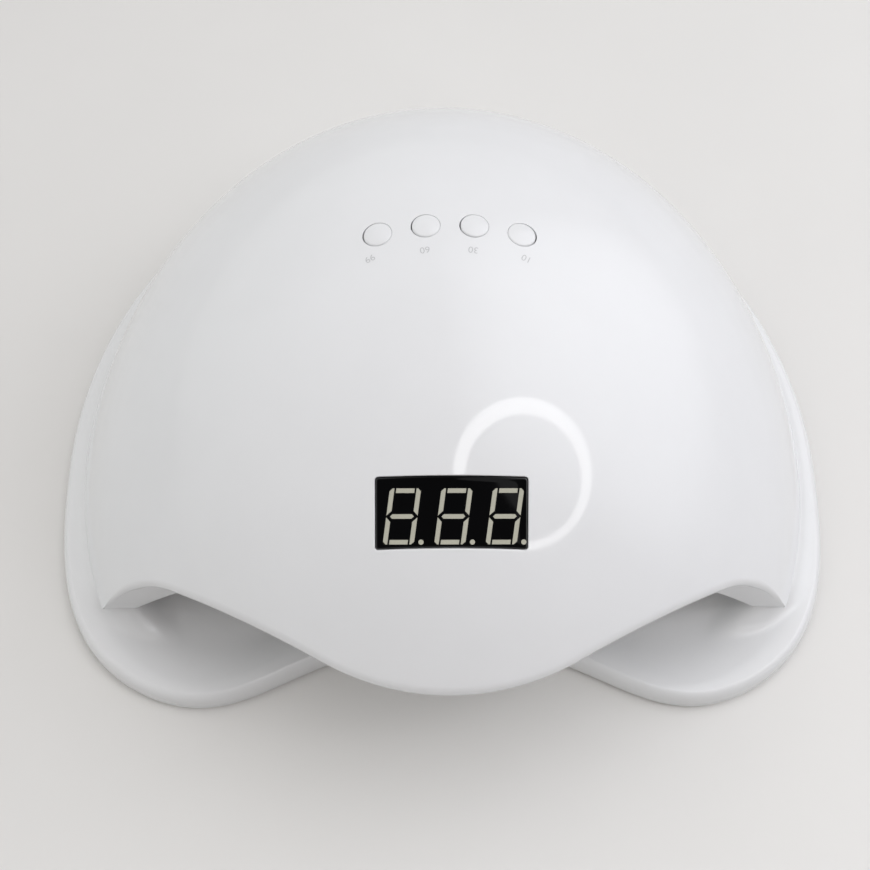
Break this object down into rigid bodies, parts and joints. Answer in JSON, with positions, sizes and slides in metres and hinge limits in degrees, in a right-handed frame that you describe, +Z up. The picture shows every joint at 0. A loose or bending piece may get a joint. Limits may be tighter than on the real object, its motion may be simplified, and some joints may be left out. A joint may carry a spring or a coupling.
{
  "type": "gel nail lamp",
  "caption": "Dome-shaped gel nail curing lamp with timer buttons, a digit display and a lift-off base tray.",
  "frame": {"origin": "centre of the footprint on the table, under the feet", "axes": "+Z up, the hand goes in along +Y, +X to the right seen from the hand opening"},
  "size_m": [0.2368, 0.2114, 0.102],
  "materials": {
    "cover_plastic": "high gloss, injection moulded",
    "tray_plastic": "high gloss, injection moulded",
    "liner_plastic": "gloss, reflective for the lamps' light",
    "button_plastic": "gloss",
    "display_black": "matt black",
    "display_film": "smoked gloss face",
    "segment_resin": "unlit diffusing resin",
    "board_laminate": "green solder mask",
    "switch_black": "matt black",
    "component_aluminium": "cans and cases",
    "screw_steel": "zinc plated",
    "magnet_plating": "nickel plated",
    "disc_steel": "zinc plated",
    "foot_rubber": "matt",
    "inlet_black": "satin black",
    "pin_brass": "plated",
    "led_resin": "clear lens over a violet die",
    "pad_aluminium": "metal-core pad",
    "sensor_resin": "dark infrared resin"
  },
  "bodies": {
    "tray": {"base_tray": "tray_plastic", "rubber_feet": "foot_rubber", "tray_discs": "disc_steel"},
    "head": {"board_screws": "screw_steel", "control_board": "board_laminate", "display_board": "board_laminate", "display_film": "display_film", "display_housing": "display_black", "display_segments": "segment_resin", "driver_board": "board_laminate", "driver_parts": "component_aluminium", "hand_sensor_emitter": "sensor_resin", "hand_sensor_receiver": "sensor_resin", "head_magnets": "magnet_plating", "housing_screws": "screw_steel", "inlet_body": "inlet_black", "inlet_nut": "inlet_black", "inlet_pin": "pin_brass", "inner_liner": "liner_plastic", "led_pads_back": "pad_aluminium", "led_pads_left": "pad_aluminium", "led_pads_right": "pad_aluminium", "led_pads_top": "pad_aluminium", "leds_back": "led_resin", "leds_left": "led_resin", "leds_right": "led_resin", "leds_top": "led_resin", "switch_bodies": "switch_black", "top_cover": "cover_plastic"},
    "key_99": {"button_99": "button_plastic", "plunger_99": "switch_black"},
    "key_60": {"button_60": "button_plastic", "plunger_60": "switch_black"},
    "key_30": {"button_30": "button_plastic", "plunger_30": "switch_black"},
    "key_10": {"button_10": "button_plastic", "plunger_10": "switch_black"}
  },
  "joints": [
    {"name": "head_lift", "type": "slide", "parent": "tray", "child": "head", "axis": [0, 0, 1], "range_m": [0, 0.06]},
    {"name": "press_99", "type": "slide", "parent": "head", "child": "key_99", "axis": [0, -0.104, -0.9946], "range_m": [0, 0.0004], "stiffness_N_per_m": 400, "springref_m": -0.0002},
    {"name": "press_60", "type": "slide", "parent": "head", "child": "key_60", "axis": [0, -0.104, -0.9946], "range_m": [0, 0.0004], "stiffness_N_per_m": 400, "springref_m": -0.0002},
    {"name": "press_30", "type": "slide", "parent": "head", "child": "key_30", "axis": [0, -0.104, -0.9946], "range_m": [0, 0.0004], "stiffness_N_per_m": 400, "springref_m": -0.0002},
    {"name": "press_10", "type": "slide", "parent": "head", "child": "key_10", "axis": [0, -0.104, -0.9946], "range_m": [0, 0.0004], "stiffness_N_per_m": 400, "springref_m": -0.0002}
  ]
}
